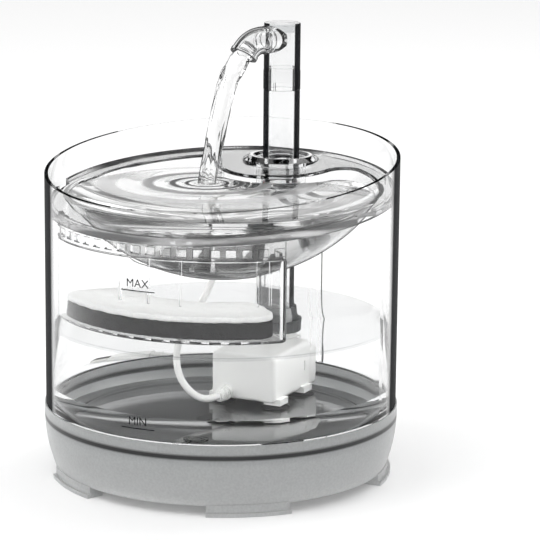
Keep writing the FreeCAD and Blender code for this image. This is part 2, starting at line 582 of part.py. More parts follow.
def coil_wire(entry, heading):
    """Two flat layers of half-turn arcs: winds in, climbs a layer at the middle, winds out."""
    forward = V(heading.x, heading.y, 0).normalize()
    inward = V(-forward.y, forward.x, 0)
    centre = entry + inward * COIL_OUTER_R

    def place(x, y, z):
        return centre - inward * x + forward * y + V(0, 0, z)

    edges = []
    x, sign, z = COIL_OUTER_R, 1, 0.0
    radius = COIL_OUTER_R
    for step in range(COIL_HALF_TURNS):
        hub = x - sign * radius
        edges.append(arc(place(x, 0, z), place(hub, sign * radius, z), place(hub - sign * radius, 0, z)))
        x, sign, radius = hub - sign * radius, -sign, radius - COIL_STEP
    climb = math.hypot(radius, COIL_RISE / 2)
    hub = x - sign * radius

    def climb_point(turn):
        """Two quarter circles in tilted planes, which meet halfway up."""
        share = 1 - math.cos(math.radians(turn))
        return place(x - sign * radius * share, sign * climb * math.sin(math.radians(turn)),
                     COIL_RISE / 2 * share)

    edges.append(arc(climb_point(0), climb_point(45), climb_point(90)))
    edges.append(arc(climb_point(90), climb_point(135), climb_point(180)))
    x, sign, z = hub - sign * radius, -sign, COIL_RISE
    for step in range(COIL_HALF_TURNS - 1):
        radius += COIL_STEP
        hub = x - sign * radius
        edges.append(arc(place(x, 0, z), place(hub, sign * radius, z), place(hub - sign * radius, 0, z)))
        x, sign = hub - sign * radius, -sign
    radius += COIL_STEP
    hub = x - radius
    eighth = radius / math.sqrt(2)
    edges.append(arc(place(x, 0, z), place(hub + eighth, eighth, z), place(hub, radius, z)))
    return Part.Wire(edges), place(hub, radius, z), inward


def least_gap(wire, diameter):
    """Nearest approach of the cord to itself, on points about 1.5 mm apart."""
    points = wire.discretize(Distance=1.5)
    skip = int(3 * diameter / 1.5) + 2
    near = min((a - b).Length for i, a in enumerate(points) for b in points[i + skip:])
    return near - diameter


def tail_route(start, heading):
    """From the coil's last turn down beside it to the plug."""
    down = V(0, 0, -1.0)
    return [start, start + heading * 10, start + heading * 21 + down, start + heading * 31 + down]


def plug_frame(route):
    """Place for a piece modelled along +X from the cord's end."""
    heading = (route[-1] - route[-2]).normalize()
    spin = math.degrees(math.atan2(heading.y, heading.x))
    return FreeCAD.Placement(route[-1], FreeCAD.Rotation(V(0, 0, 1), spin))


def plug_body(frame):
    """Moulded grip with a tapered cord relief."""
    grip = box(9.0, 32.0, -7.8, 7.8, -4.4, 4.4)
    grip = grip.makeFillet(2.2, [e for e in grip.Edges if e.BoundBox.XLength > 20])
    relief = Part.makeCone(2.4, 3.9, 9.2, V(0, 0, 0), V(1, 0, 0))
    rings = [Part.makeCylinder(4.2, 0.9, V(x, 0, 0), V(1, 0, 0)) for x in (2.4, 4.8, 7.2)]
    body = grip.fuse([relief] + rings)
    body.Placement = frame
    return body


def plug_shell(frame):
    """Open metal shell of a type A plug, with its contact tongue inside."""
    shell = box(32.0, 44.5, -6.0, 6.0, -2.25, 2.25).cut(box(32.6, 46.0, -5.7, 5.7, -1.95, 1.95))
    windows = [box(36.5, 39.0, y - 1.2, y + 1.2, 1.5, 3.0) for y in (-2.9, 2.9)]
    tongue = box(32.5, 43.8, -5.4, 5.4, -1.95, 0.0)
    shell = shell.cut(windows).fuse(tongue)
    shell.Placement = frame
    return shell


def pump_gland():
    """Tapered relief where the cord leaves the pump's face."""
    cone = Part.makeCone(3.4, 2.4, 10.0, V(-9, PUMP_FRONT_Y, GLAND_Z), V(0, -1, 0))
    rings = [Part.makeCylinder(3.9 - 0.3 * k, 1.1, V(-9, PUMP_FRONT_Y - 2.0 - 2.6 * k, GLAND_Z), V(0, -1, 0))
             for k in range(3)]
    return cone.fuse(rings)


def cord_grommet():
    """Soft bush in the tank's back wall, with a flange on each side."""
    out = polar(1, GROMMET_DEG)
    inside = polar(TANK_R - TANK_WALL - 2.0, GROMMET_DEG, GROMMET_Z)
    neck = Part.makeCylinder(3.55, TANK_WALL + 4.2, inside, out)
    inner = Part.makeCylinder(5.4, 1.7, inside, out)
    outer = Part.makeCylinder(5.4, 1.9, inside + out * (TANK_WALL + 2.3), out)
    body = neck.fuse([inner, outer])
    wall = rod(TANK_R + 0.02, 90, 130).cut(rod(TANK_R - TANK_WALL - 0.02, 89, 131))
    hole = Part.makeCylinder(3.56, 30, inside - out * 5, out)
    return body.cut(wall.cut(hole))


def save_cord():
    """The supply cord, in the order of its length, and the plug at its end."""
    inside = rounded_route("cord_inside", inside_route())
    save("cord_inside", cord_tube("cord_inside", inside, CORD_D))
    route = outside_route()
    outside = rounded_route("cord_outside", route)
    save("cord_outside", cord_tube("cord_outside", outside, CORD_D))
    coil, coil_end, heading = coil_wire(route[-1], route[-1] - route[-2])
    tail_points = tail_route(coil_end, heading)
    tail = rounded_route("cord_tail", tail_points)
    whole = Part.Wire(coil.Edges + tail.Edges)
    save("cord_coil", cord_tube("cord_coil", whole, CORD_D))
    print("coil gap", round(least_gap(coil, CORD_D), 2),
          "cord outside the tank", round(outside.Length + whole.Length))
    frame = plug_frame(tail_points)
    save("usb_plug_body", plug_body(frame))
    save("usb_plug_shell", plug_shell(frame))


def main():
    os.makedirs("parts", exist_ok=True)
    save("base_shell", base_shell())
    save("base_deck", base_deck())
    save("base_plate", base_plate())
    save("base_screws", base_screws())
    save("tank", tank())
    save("drinking_tray", drinking_tray())
    save("drain_comb", drain_comb())
    save("filter_box", filter_box())
    save("filter_carbon", filter_pad(BOX_BOTTOM_Z + BOX_WALL + 0.3, CARBON_TOP_Z, 0.5))
    save("filter_cotton", filter_pad(CARBON_TOP_Z + 0.02, COTTON_TOP_Z, 0.5))
    save("riser_tube", riser_tube())
    save("riser_collar", riser_collar())
    save("riser_seal", ring_seal(8.15, 0.54, 122.0))
    save("faucet_stem", faucet_stem())
    save("faucet_seal", ring_seal(8.65, 0.64, 132.0))
    save("faucet_head", faucet_head())
    save("spout", spout())
    save("faucet_cap", faucet_cap())
    save("pump_housing", pump_housing())
    save("pump_cover", pump_cover())
    save("pump_foam", pump_foam())
    save("pump_stator", pump_stator())
    save("pump_magnet", pump_magnet())
    save("pump_impeller", pump_impeller())
    save("pump_shaft", pump_shaft())
    save("pump_bushes", pump_bushes())
    save("pump_cups", suction_cups())
    save("pump_gland", pump_gland())
    save("cord_grommet", cord_grommet())
    save_cord()


main()
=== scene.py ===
"""Looks of the pet water fountain: clear mouldings, frosted base, felt and foam pads,
water in the tank and bowl, the falling stream, the level marks and the supply cord.

Metres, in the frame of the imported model: +Z up, drinking side at -Y, column at +Y.
"""

import bmesh
import bpy
import math
from mathutils import Matrix, Vector, noise


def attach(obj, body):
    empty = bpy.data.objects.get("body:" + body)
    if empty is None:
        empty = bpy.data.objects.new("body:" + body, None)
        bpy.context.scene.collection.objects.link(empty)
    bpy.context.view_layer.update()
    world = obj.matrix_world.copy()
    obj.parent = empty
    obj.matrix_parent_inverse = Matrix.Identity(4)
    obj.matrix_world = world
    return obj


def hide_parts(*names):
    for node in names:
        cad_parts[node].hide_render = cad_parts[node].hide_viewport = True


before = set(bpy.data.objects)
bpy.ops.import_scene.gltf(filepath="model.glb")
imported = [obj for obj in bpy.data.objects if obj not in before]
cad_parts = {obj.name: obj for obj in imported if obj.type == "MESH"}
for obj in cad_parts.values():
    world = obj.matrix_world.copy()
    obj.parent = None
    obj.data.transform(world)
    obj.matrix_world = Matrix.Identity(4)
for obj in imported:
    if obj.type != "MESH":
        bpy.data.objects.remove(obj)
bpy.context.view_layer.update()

MM = 0.001

# Places that the construction gives, in metres
COLUMN = Vector((0.0, 0.0652, 0.0))
SPOUT_TURN = math.radians(-22.0)
SPOUT_Z, ELBOW_START, ELBOW_R = 0.2039, 0.0142, 0.0136
ELBOW_END = math.radians(55.0)
TANK_R, TANK_INNER_R = 0.085, 0.0815
TANK_FLOOR, TANK_FOOT_R, TANK_FOOT_CORNER = 0.0256, 0.0705, 0.0105
BOWL_INNER_R, BOWL_CENTRE_Z = 0.090, 0.188
BOWL_HUB = Vector((0.0, -0.055))
ISLAND_R, POCKET_R = 0.032, 0.009
BASE_TOP = 0.0348
CORD_D = 0.0034

# Water levels, and the gap that keeps the water off the plastic
BOWL_LEVEL, TANK_LEVEL = 0.1364, 0.0742
WATER_GAP = 0.25 * MM

# Waves in the bowl: where the stream lands, the first ring's radius, how fast rings widen
RIPPLE_AT = Vector((-0.0182, 0.0195))
RIPPLE_FIRST, RIPPLE_GROWTH = 17 * MM, 0.534
RIPPLE_HEIGHT, RIPPLE_REACH = 0.3 * MM, 52 * MM

# The cord's route, in millimetres
GLAND_Z = 31.5
GROMMET_DEG, GROMMET_Z = -165.0, 112.0
COIL_OUTER_R, COIL_STEP, COIL_HALF_TURNS, COIL_RISE = 28.0, 1.975, 9, 3.95
COIL_POINTS = 8

# Level marks: the height of each line of letters, their size and the line under them
MARK_MAX_Z, MARK_MIN_Z = 0.1065, 0.0420
LETTER_SIZE, MARK_THICK = 5.4 * MM, 0.04 * MM
LINE_HALF, LINE_LOW, LINE_HIGH = 8.6 * MM, -1.9 * MM, -1.45 * MM

# Strength of the sky behind a matt bounce: in the open, and past a clear wall
OPEN_LIGHT, INSIDE_LIGHT = 0.8, 3.3

# Dark studio flags that glass picks up: their level, and where the upright pair stands
DARK_FLAG = 0.03
SIDE_FLAG_TOWARDS = (0.9017, 0.4324, 0.0)

# Colour of what takes no light away, and how strongly plastic and water bend light
WHITE = "#FFFFFF"
STYRENE_IOR, WATER_IOR = 1.49, 1.333


def link(thing):
    """Puts an object into the scene and gives it back."""
    bpy.context.scene.collection.objects.link(thing)
    return thing


def place_on(radius, degrees, z=0.0):
    """A point at an angle from the front (-Y), turning towards +X."""
    angle = math.radians(degrees)
    return Vector((radius * math.sin(angle), -radius * math.cos(angle), z))


# Camera and cords

def make_camera():
    """The photograph's camera: a long lens, a little above the rim, right of the front."""
    data = bpy.data.cameras.new("photo_camera")
    data.lens, data.sensor_width = 167.6, 36.0
    data.clip_start, data.clip_end = 0.05, 20.0
    forward = Vector((-0.4228, 0.8817, -0.2096)).normalized()
    level_right = forward.cross(Vector((0, 0, 1))).normalized()
    level_up = level_right.cross(forward)
    roll = math.radians(0.56)
    right = math.cos(roll) * level_right + math.sin(roll) * level_up
    up = -math.sin(roll) * level_right + math.cos(roll) * level_up
    camera = link(bpy.data.objects.new("photo_camera", data))
    turn = Matrix((right, up, -forward)).transposed()
    camera.matrix_world = Matrix.Translation((0.5338, -1.0595, 0.3530)) @ turn.to_4x4()
    bpy.context.scene.camera = camera


def nurbs_cord(name, points):
    """One smooth NURBS line with the route's points as its control points. Each point carries
    the cord's radius, and the depth of 1 leaves it as it is."""
    curve = bpy.data.curves.new(name, "CURVE")
    curve.dimensions = "3D"
    curve.bevel_depth = 1.0
    curve.bevel_resolution = 5
    curve.resolution_u = 6
    curve.use_fill_caps = True
    spline = curve.splines.new("NURBS")
    spline.points.add(len(points) - 1)
    for point, at in zip(spline.points, points):
        point.co, point.radius = (at.x, at.y, at.z, 1.0), CORD_D / 2
    spline.order_u = 3
    spline.use_endpoint_u = True
    return link(bpy.data.objects.new(name, curve))


def inside_route():
    """From the pump's gland, up past its corner and behind the filter box to the back wall."""
    wall_end = place_on(79.5, GROMMET_DEG, GROMMET_Z)
    into = place_on(1, GROMMET_DEG)
    route = [Vector((-9, 14.0, GLAND_Z)), Vector((-9, 4.5, GLAND_Z)), Vector((-13.5, -4.0, 35.5)),
             Vector((-20, -6.5, 44.5)), Vector((-24.5, -1.0, 55.0)), Vector((-25.5, 10.0, 63.5)),
             Vector((-26.0, 23.0, 70.0)), Vector((-25.5, 36.0, 80.0)), Vector((-23.0, 48.0, 97.0)),
             Vector((-20.5, 56.5, 107.0)), wall_end - into * 11.5, wall_end]
    return [at * MM for at in route]


def outside_route():
    """From the grommet, down the back of the tank and out along the floor, in millimetres."""
    start = place_on(87.2, GROMMET_DEG, GROMMET_Z)
    out = place_on(1, GROMMET_DEG)
    side = place_on(1, GROMMET_DEG + 90)
    floor = CORD_D / MM / 2 + 0.1 - GROMMET_Z
    steps = [(0, 0), (11.5, 0), (19.5, -5.5), (24.0, -14.5), (24.5, -30), (23.0, -52), (20.5, -72),
             (20.0, -90), (24.0, -101.5), (32.5, floor), (43.5, floor)]
    route = [start + out * across + Vector((0, 0, down)) for across, down in steps]
    route[5] += side * 0.8
    route[6] -= side * 0.6
    return route


def coil_route(entry, heading):
    """Two flat layers of half turns: winds in, climbs a layer at the middle, winds out."""
    inward = Vector((-heading.y, heading.x, 0))
    centre = entry + inward * COIL_OUTER_R
    widen = 1 / math.cos(math.pi / COIL_POINTS / 2)
    route = []

    def half_turn(x, sign, radius, z, climb, share=1.0):
        hub = x - sign * radius
        for step in range(round(COIL_POINTS * share)):
            phi = math.pi * (step + 0.5) / COIL_POINTS
            across = hub + sign * radius * widen * math.cos(phi)
            along = sign * radius * widen * math.sin(phi)
            lift = z + climb * (1 - math.cos(phi)) / 2
            route.append(centre - inward * across + heading * along + Vector((0, 0, lift)))
        return hub - sign * radius, -sign

    x, sign, radius = COIL_OUTER_R, 1, COIL_OUTER_R
    for turn in range(COIL_HALF_TURNS):
        x, sign = half_turn(x, sign, radius, 0, 0)
        radius -= COIL_STEP
    x, sign = half_turn(x, sign, radius, 0, COIL_RISE)
    for turn in range(COIL_HALF_TURNS - 1):
        radius += COIL_STEP
        x, sign = half_turn(x, sign, radius, COIL_RISE, 0)
    radius += COIL_STEP
    hub = x - radius
    half_turn(x, sign, radius, COIL_RISE, 0, 0.5)
    end = centre - inward * hub + heading * radius + Vector((0, 0, COIL_RISE))
    down = Vector((0, 0, -1.0))
    tail = [end + inward * 10, end + inward * 21 + down, end + inward * 31 + down]
    return route + tail


def make_cords():
    """The supply cord: inside the tank, then out of the grommet to a coil and its plug."""
    inner = nurbs_cord("supply_cord_inside", inside_route())
    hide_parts("cord_inside")
    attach(inner, "tank_body")
    outer_points = outside_route()
    heading = (outer_points[-1] - outer_points[-2]).normalized()
    points = [at * MM for at in outer_points + coil_route(outer_points[-1], heading)]
    outer = nurbs_cord("supply_cord_outside", points)
    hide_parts("cord_outside", "cord_coil")
    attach(outer, "tank_body")
    return [inner, outer]


# Materials

def linear(colour_hex):
    """sRGB hex to the linear colour that a shader takes."""
    parts = [int(colour_hex[i:i + 2], 16) / 255 for i in (1, 3, 5)]
    return tuple(c / 12.92 if c <= 0.04045 else ((c + 0.055) / 1.055) ** 2.4 for c in parts) + (1.0,)


def add(tree, kind, settings=None, inputs=None):
    """A node with its settings, and its inputs given as values or as sockets to link."""
    node = tree.nodes.new(kind)
    for name, value in (settings or {}).items():
        setattr(node, name, value)
    for name, value in (inputs or {}).items():
        if isinstance(value, bpy.types.NodeSocket):
            tree.links.new(value, node.inputs[name])
        else:
            node.inputs[name].default_value = value
    return node


def begin(name):
    """An empty material with its output, its node tree and the object's own coordinates."""
    material = bpy.data.materials.new(name)
    material.use_nodes = True
    tree = material.node_tree
    tree.nodes.clear()
    place = add(tree, "ShaderNodeTexCoord").outputs["Object"]
    return material, tree, place


def finish_material(tree, shader, volume=None):
    """Links the shader, and the volume if there is one, to the material's output."""
    sockets = {"Surface": shader.outputs[0]}
    if volume:
        sockets["Volume"] = volume.outputs[0]
    add(tree, "ShaderNodeOutputMaterial", inputs=sockets)


def math_node(tree, operation, first, second=0.0, third=0.0):
    """The result of one sum on values or sockets."""
    return add(tree, "ShaderNodeMath", {"operation": operation}, {0: first, 1: second, 2: third}).outputs[0]


def noise_node(tree, place, scale, detail=2.0, **more):
    """Cloudy noise from 0 to 1, with scale patches to the metre."""
    return add(tree, "ShaderNodeTexNoise", inputs={
        "Vector": place, "Scale": scale, "Detail": detail, **more}).outputs["Fac"]


def blend(tree, share, low, high):
    """A colour between two sRGB hex colours."""
    return add(tree, "ShaderNodeMix", {"data_type": "RGBA"}, {
        0: share, 6: linear(low), 7: linear(high)}).outputs[2]


def bump(tree, height, strength, distance):
    """A surface direction tilted by a height pattern."""
    return add(tree, "ShaderNodeBump", inputs={
        "Height": height, "Strength": strength, "Distance": distance}).outputs["Normal"]


def spread(tree, value, to_min, to_max, from_min=0.0, from_max=1.0, smooth=False):
    """A value moved from one range to another and held inside it."""
    way = {"interpolation_type": "SMOOTHSTEP"} if smooth else {}
    return add(tree, "ShaderNodeMapRange", way, {
        "Value": value, "From Min": from_min, "From Max": from_max,
        "To Min": to_min, "To Max": to_max}).outputs[0]


def colour_ramp(tree, share, stops):
    """A colour that runs through (place, linear colour) stops."""
    node = add(tree, "ShaderNodeValToRGB", inputs={"Fac": share})
    ramp = node.color_ramp
    while len(ramp.elements) < len(stops):
        ramp.elements.new(0.5)
    for element, (at, colour) in zip(ramp.elements, stops):
        element.position, element.color = at, colour
    return node.outputs[0]


def distance_from(tree, place, x, y):
    """Distance from the upright axis at (x, y)."""
    flat = add(tree, "ShaderNodeVectorMath", {"operation": "MULTIPLY_ADD"}, {
        0: place, 1: (1, 1, 0), 2: (-x, -y, 0)})
    return add(tree, "ShaderNodeVectorMath", {"operation": "LENGTH"}, {0: flat.outputs[0]}).outputs["Value"]


def facing_up(tree):
    """The upward part of the surface's direction, from -1 to 1."""
    normal = add(tree, "ShaderNodeNewGeometry").outputs["Normal"]
    return add(tree, "ShaderNodeSeparateXYZ", inputs={"Vector": normal}).outputs["Z"]


def principled(tree, **sockets):
    """The shader, with each socket's name written with underscores for its spaces."""
    return add(tree, "ShaderNodeBsdfPrincipled", inputs={
        name.replace("_", " "): value for name, value in sockets.items()})


def absorption(tree, tint, density):
    """The inside of a clear body, which takes up a little light."""
    return add(tree, "ShaderNodeVolumeAbsorption", inputs={"Color": linear(tint), "Density": density})


def painted_edge_shade(tree, place, begins, ends, wall=None):
    """0 to 1 where a surface is seen edge-on: painted shade, a dark edge standing in for the dark
    surroundings that a clear body bends into view there.
    wall is the axis' Y and the least radius, where only an upright outer skin counts."""
    view = add(tree, "ShaderNodeLayerWeight", inputs={"Blend": 0.5})
    grazing = spread(tree, view.outputs["Facing"], 0.0, 1.0, begins, ends)
    if not wall:
        return grazing
    return math_node(tree, "MULTIPLY", grazing, outer_skin(tree, place, *wall))


def outer_skin(tree, place, axis_y, skin_r):
    """1 on an upright surface that is at least skin_r from the upright axis at (0, axis_y)."""
    steep = math_node(tree, "COMPARE", facing_up(tree), 0.0, 0.5)
    outer = math_node(tree, "GREATER_THAN", distance_from(tree, place, 0, axis_y), skin_r)
    return math_node(tree, "MULTIPLY", steep, outer)


def clear_plastic(name, tint, density, ior, begins, ends, wall=None, rim=None):
    """Styrene-acrylonitrile, moulded in a polished tool: glassy, with faint flow lines in the
    skin, greyer where one looks along a wall, and with painted shade where a wall is seen edge-on,
    a dark edge standing in for the dark surroundings that the plastic bends into view. rim is the
    axis' Y and the least radius of a thick outer edge, on which dark patches all round, from a
    noise pattern, are painted shade of the same kind."""
    material, tree, place = begin(name)
    skin = bump(tree, noise_node(tree, place, 38.0, 1.0), 0.04, 0.4 * MM)
    # painted shade: dark where a wall is seen edge-on
    painted_shade_mask = painted_edge_shade(tree, place, begins, ends, wall)
    # painted shade: dark patches from a noise pattern on the thick outer rim
    if rim:
        flat_place = add(tree, "ShaderNodeVectorMath", {"operation": "MULTIPLY"}, {
            0: place, 1: (14, 14, 160)}).outputs[0]
        painted_rim_patch = spread(tree, noise_node(tree, flat_place, 1.0, 1.0), 0.15, 0.9, 0.40, 0.56, smooth=True)
        thick = math_node(tree, "MULTIPLY", outer_skin(tree, place, *rim), painted_rim_patch)
        painted_shade_mask = math_node(tree, "MAXIMUM", painted_shade_mask, thick)
    shader = principled(
        # the painted shade tints the colour towards #161719 and takes out transmission
        tree, Base_Color=blend(tree, painted_shade_mask, WHITE, "#161719"), Roughness=0.01, IOR=ior,
        Specular_IOR_Level=0.0, Transmission_Weight=spread(tree, painted_shade_mask, 1.0, 0.1), Normal=skin)
    finish_material(tree, shader, absorption(tree, tint, density))
    return material


def frosted_plastic():
    """The same plastic from a spark-textured tool: grey, light comes through but no picture
    does. A dark line under the top edge is painted shade, standing in for the tank's foot ring seen
    through the frost; below it the colour runs from white at the bottom to a little greyer upwards."""
    material, tree, place = begin("frosted_styrene_spark_textured")
    texture = bump(tree, noise_node(tree, place, 1800.0), 0.25, 0.08 * MM)
    speck = spread(tree, noise_node(tree, place, 900.0, 1.0), 0.0, 0.7, 0.3, 0.7)
    both = math_node(tree, "MULTIPLY_ADD", noise_node(tree, place, 22.0), 0.3, speck)
    height = add(tree, "ShaderNodeSeparateXYZ", inputs={"Vector": place}).outputs["Z"]
    # painted shade: the dark band from 0.81 to 0.85 of the base's height
    stops = [(0.0, WHITE), (0.2, WHITE), (0.7, "#ECEDED"), (0.785, "#DCDDDE"),
             (0.81, "#2E2F30"), (0.85, "#3A3B3C"), (0.88, "#E8E9E9")]
    height_tone_and_painted_shade = colour_ramp(tree, math_node(tree, "DIVIDE", height, BASE_TOP),
                       [(at, linear(tone)) for at, tone in stops])
    tone = add(tree, "ShaderNodeMix", {"data_type": "RGBA", "blend_type": "MULTIPLY"}, {
        0: 1.0, 6: blend(tree, both, "#DFE0E0", "#F1F2F2"), 7: height_tone_and_painted_shade})
    shader = principled(
        tree, Base_Color=tone.outputs[2], Roughness=0.3, IOR=STYRENE_IOR, Specular_IOR_Level=0.3,
        Transmission_Weight=0.6, Normal=texture)
    finish_material(tree, shader)
    return material


def satin_plastic(name, low, high, roughness, grain_scale=900.0):
    """Opaque moulded plastic: an even colour, a satin skin and a very fine grain."""
    material, tree, place = begin(name)
    cloud = noise_node(tree, place, 45.0, 3.0)
    shader = principled(
        tree, Base_Color=blend(tree, cloud, low, high),
        Roughness=spread(tree, cloud, roughness - 0.05, roughness + 0.08), IOR=1.5,
        Normal=bump(tree, noise_node(tree, place, grain_scale), 0.15, 0.05 * MM))
    finish_material(tree, shader)
    return material


def needle_felt():
    """Polyester fibre punched into a mat: matt white with a tangle of fibres on top."""
    material, tree, place = begin("polyester_needle_felt")
    lay = noise_node(tree, place, 420.0, 4.0, Distortion=1.6)
    both = math_node(tree, "ADD", lay, noise_node(tree, place, 120.0))
    shader = principled(
        tree, Base_Color=blend(tree, lay, "#DCDDDC", "#F6F6F4"), Roughness=0.95,
        Sheen_Weight=0.3, Sheen_Roughness=0.5, Normal=bump(tree, both, 0.6, 0.5 * MM))
    finish_material(tree, shader)
    return material


def open_foam(name, dark, light, cell, depth):
    """Reticulated foam: open cells, each painted darker towards its middle between the struts, as painted
    shade in the pores.
    """
    material, tree, place = begin(name)
    pattern = add(tree, "ShaderNodeTexVoronoi", inputs={"Vector": place, "Scale": 1 / cell})
    # painted shade: each cell darker towards its middle
    cells = pattern.outputs["Distance"]
    shader = principled(
        tree, Base_Color=blend(tree, cells, dark, light), Roughness=0.95,
        Specular_IOR_Level=0.05, Normal=bump(tree, cells, 0.8, depth))
    finish_material(tree, shader)
    return material


def soft_silicone():
    """Injection-moulded silicone: milky, soft gloss, light sinks into it."""
    material, tree, place = begin("silicone_milky")
    shader = principled(
        tree, Base_Color=linear("#D6D8D8"),
        Roughness=spread(tree, noise_node(tree, place, 300.0, 3.0), 0.3, 0.5), IOR=1.41,
        Transmission_Weight=0.35, Subsurface_Weight=0.2, Subsurface_Scale=2 * MM)
    finish_material(tree, shader)
    return material


def metal(name, low, high, roughness, streak=(1, 1, 1), metallic=1.0):
    """Bare or plated metal, with the marks that its working left."""
    material, tree, place = begin(name)
    stretch = add(tree, "ShaderNodeMapping", inputs={"Vector": place, "Scale": streak})
    marks = noise_node(tree, stretch.outputs[0], 700.0, 3.0)
    shader = principled(
        tree, Base_Color=blend(tree, marks, low, high), Metallic=metallic,
        Roughness=spread(tree, marks, roughness * 0.7, roughness * 1.3))
    finish_material(tree, shader)
    return material


def tank_body_water():
    """Clean tap water in the tank, drawn with hardly any bending and a trace of grey."""
    material, tree, place = begin("water_in_tank")
    shader = principled(
        tree, Base_Color=linear(WHITE), Roughness=0.0, IOR=1.01, Specular_IOR_Level=0.0,
        Transmission_Weight=1.0)
    finish_material(tree, shader, absorption(tree, "#DCE0E2", 1.5))
    return material


def falling_water():
    """The stream: a skin that small waves bend, and painted shade, dark lines where it turns away that
    stand in for the dark surroundings bent into view.
    """
    material, tree, place = begin("water_falling")
    skin = bump(tree, noise_node(tree, place, 55.0), 0.35, 1.0 * MM)
    # painted shade: dark lines where the stream is seen edge-on
    painted_shade_mask = painted_edge_shade(tree, place, 0.5, 0.75)
    shader = principled(
        tree, Base_Color=blend(tree, painted_shade_mask, WHITE, "#202224"), Roughness=0.0, IOR=WATER_IOR,
        Specular_IOR_Level=0.0, Transmission_Weight=spread(tree, painted_shade_mask, 1.0, 0.2), Normal=skin)
    finish_material(tree, shader)
    return material


def rippled_water():
    """Water in the bowl: clear, with dark rings of painted shade round the place where the stream
    lands, standing in for the dark surroundings that the slopes of its small waves bend into view.
    Their radii are those of the waves in the mesh."""
    material, tree, place = begin("water_in_bowl")
    far = distance_from(tree, place, RIPPLE_AT.x, RIPPLE_AT.y)
    growth = math_node(tree, "LOGARITHM", math_node(tree, "DIVIDE", far, RIPPLE_FIRST), math.e)
    phase = math_node(tree, "MULTIPLY", growth, 2 * math.pi / RIPPLE_GROWTH)
    ring = spread(tree, math_node(tree, "COSINE", phase), 0.0, 1.0, -0.1, 0.8, smooth=True)
    fade = spread(tree, far, 0.95, 0.18, 14 * MM, 72 * MM)
    core = spread(tree, far, 0.0, 1.0, 5 * MM, 9 * MM)
    level = add(tree, "ShaderNodeSeparateXYZ", inputs={"Vector": place}).outputs["Z"]
    top = math_node(tree, "GREATER_THAN", level, BOWL_LEVEL - 1.2 * MM)
    flat = math_node(tree, "GREATER_THAN", math_node(tree, "ABSOLUTE", facing_up(tree)), 0.8)
    # painted shade: dark rings, fading outwards, kept off the middle and on the flat top only
    dark = ring
    for factor in (fade, core, math_node(tree, "MULTIPLY", top, flat)):
        dark = math_node(tree, "MULTIPLY", dark, factor)
    shader = principled(
        tree, Base_Color=blend(tree, dark, WHITE, "#0C0D0E"), Roughness=0.0, IOR=WATER_IOR,
        Specular_IOR_Level=0.0, Transmission_Weight=spread(tree, dark, 1.0, 0.05))
    finish_material(tree, shader)
    return material


def still_surface():
    """The flat top of the tank's water: a faint grey film, a painted sheen standing in for the surface's
    reflection, that the wall of the tank rings.
    """
    material, tree, place = begin("water_surface_still")
    shader = principled(
        # painted sheen: a faint grey film at low alpha
        tree, Base_Color=blend(tree, noise_node(tree, place, 30.0), "#6E7274", "#7E8284"),
        Roughness=0.12, IOR=1.2, Alpha=0.12)
    finish_material(tree, shader)
    return material


def printed_ink():
    """Pad-printed black ink: thin, matt, with a slightly uneven tone."""
    material, tree, place = begin("pad_printed_ink_black")
    shader = principled(
        tree, Base_Color=blend(tree, noise_node(tree, place, 900.0), "#0E0E0F", "#19191A"),
        Roughness=0.6, Specular_IOR_Level=0.1)
    finish_material(tree, shader)
    return material


def make_materials():
    """Every material by its short name. The two thin walls bend light less than the plastic
    does, because the photograph shows no glare on them."""
    thin_wall_ior = 1.3
    return {
        "tank": clear_plastic("clear_styrene_tank", "#E4E8EA", 9.0, thin_wall_ior, 0.68, 0.76,
                              (0.0, 83.5 * MM)),
        "tray": clear_plastic("clear_styrene_faint_grey", "#A8ABAD", 24.0, STYRENE_IOR, 0.82, 0.92,
                              None, (0.0, 77.5 * MM)),
        "comb": clear_plastic("clear_styrene_comb", "#C8CBCD", 20.0, STYRENE_IOR, 0.66, 0.82),
        "filter": clear_plastic("clear_styrene_filter_box", "#E4E8EA", 14.0, thin_wall_ior, 0.8, 0.9),
        "faucet": clear_plastic("clear_styrene_column", "#D4D7D9", 60.0, STYRENE_IOR, 0.26, 0.31,
                                (COLUMN.y, 7.3 * MM)),
        "spout": clear_plastic("clear_styrene_spout", "#D4D7D9", 60.0, STYRENE_IOR, 0.5, 0.75),
        "base": frosted_plastic(),
        "abs": satin_plastic("ABS_white_satin", "#E6E6E4", "#F1F1EF", 0.38),
        "pvc": satin_plastic("PVC_cord_white", "#E4E4E2", "#EFEFED", 0.45, 1500.0),
        "felt": needle_felt(),
        "carbon": open_foam("carbon_loaded_foam", "#101011", "#1A1A1C", 1.1 * MM, 0.25 * MM),
        "sponge": open_foam("polyurethane_sponge", "#2A2A2B", "#5A5A5B", 1.2 * MM, 0.6 * MM),
        "silicone": soft_silicone(),
        "rubber": satin_plastic("moulded_rubber_black", "#141414", "#1F1F20", 0.6, 600.0),
        "screw": metal("steel_zinc_plated", "#A8ABAD", "#C9CBCC", 0.3),
        "core": metal("lacquered_lamination_stack", "#26272A", "#3C3E42", 0.45, (1, 1, 14), 0.7),
        "magnet": metal("sintered_ferrite", "#1C1C1E", "#2B2B2E", 0.5, (1, 1, 1), 0.4),
        "shaft": satin_plastic("ceramic_ground_white", "#ECECE8", "#F8F8F5", 0.2, 2500.0),
        "nickel": metal("nickel_plated_shell", "#C2C2BE", "#DADAD7", 0.16, (1, 8, 1)),
        "bowl_water": rippled_water(),
        "tank_water": tank_body_water(),
        "tank_skin": still_surface(),
        "stream": falling_water(),
        "ink": printed_ink(),
    }


